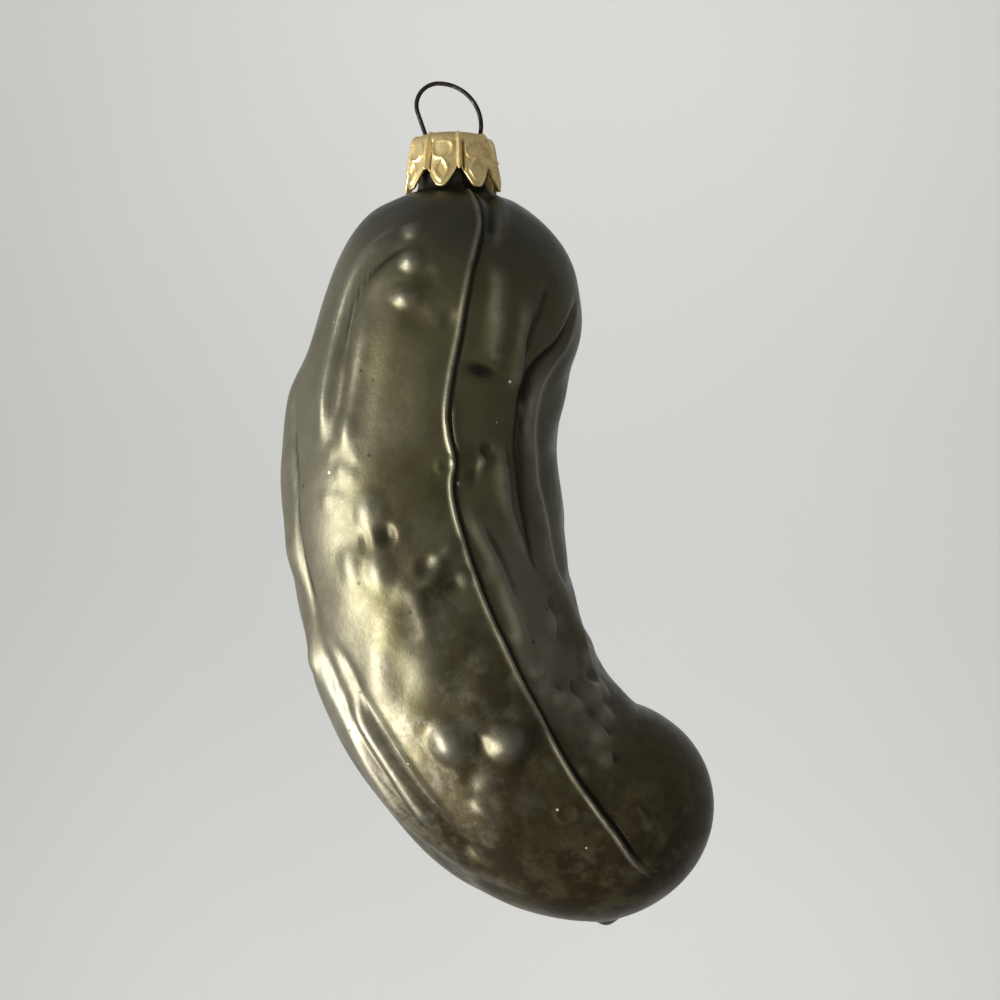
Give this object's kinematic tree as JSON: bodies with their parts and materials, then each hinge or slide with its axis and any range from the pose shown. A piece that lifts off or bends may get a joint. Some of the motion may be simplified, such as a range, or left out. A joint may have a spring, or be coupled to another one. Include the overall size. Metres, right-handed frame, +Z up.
{
  "type": "pickle ornament",
  "caption": "Hanging pickle ornament: a curved, warty, hollow blown glass body with a mould seam, closed by a petalled gold crown cap with a sprung wire loop.",
  "frame": {"origin": "the point under the crown of the wire eye, on the neck's axis, where a hook bears", "axes": "+Z up along the neck's axis as it hangs, the curve of the body lies in the XZ plane with the tail towards +X, and the front that the picture shows faces -Y"},
  "size_m": [0.0591, 0.0361, 0.1158],
  "materials": {
    "lacquered_glass": "satin olive lacquer over silvering",
    "gold_sheet": "stamped, bright gold",
    "dark_wire": "oxidised spring wire"
  },
  "bodies": {
    "hanger": {"wire_hanger": "dark_wire"},
    "cap": {"crown_cap": "gold_sheet"},
    "glass": {"glass_body": "lacquered_glass"}
  },
  "joints": [
    {"name": "rock_on_hanger", "type": "hinge", "parent": "hanger", "child": "cap", "pos_m": [0, 0, -0.00689], "axis": [1, 0, 0], "range_deg": [-6, 6]},
    {"name": "pull_off", "type": "slide", "parent": "cap", "child": "glass", "axis": [0, 0, -1], "range_m": [0, 0.03]}
  ]
}
